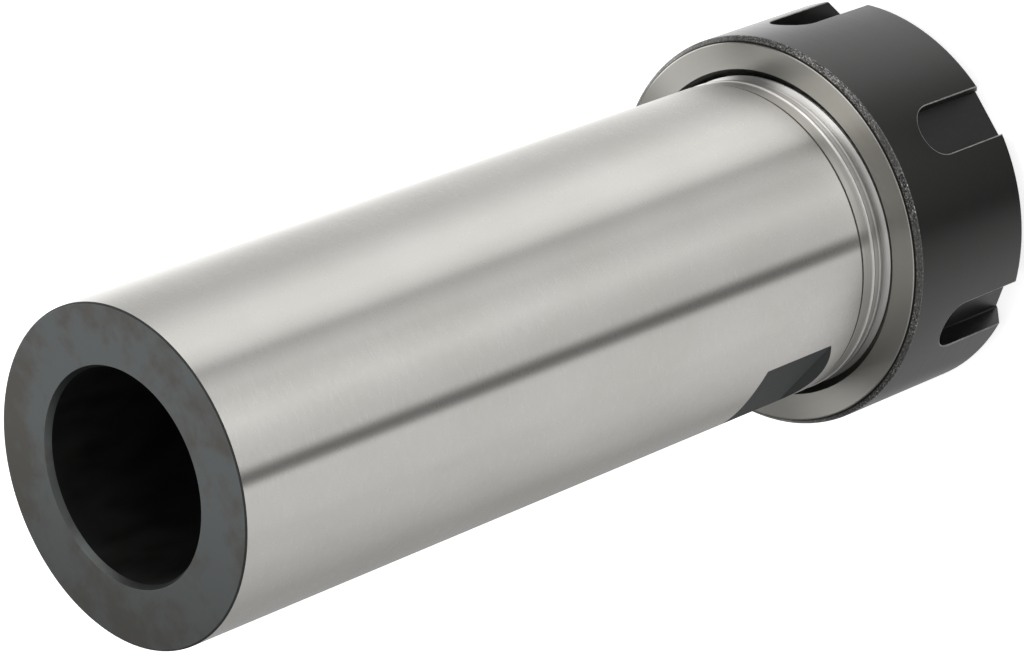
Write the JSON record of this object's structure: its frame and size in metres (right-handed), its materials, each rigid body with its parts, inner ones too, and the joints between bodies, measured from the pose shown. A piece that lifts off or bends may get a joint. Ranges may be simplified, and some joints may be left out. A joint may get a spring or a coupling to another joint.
{
  "type": "collet chuck extension",
  "caption": "Straight ground shank with a through bore, wrench flats and a tapered collet socket at one end, closed by a slotted clamping nut.",
  "frame": {"origin": "centre of the clamping nut's front face, which the part stands on", "axes": "+Z along the axis from the nut to the shank's rear end; the two wrench flats face -X and +X"},
  "size_m": [0.05, 0.05, 0.1291],
  "materials": {
    "ground_steel": "cylindrically ground shank, blackened rear face and bore",
    "black_oxide_steel": "satin black oxide with a ground rear face"
  },
  "bodies": {
    "nut": {"clamping_nut": "black_oxide_steel"},
    "body": {"chuck_body": "ground_steel"}
  },
  "joints": [
    {"name": "nut_thread", "type": "slide", "parent": "nut", "child": "body", "axis": [0, 0, 1], "range_m": [0, 0.025]}
  ]
}
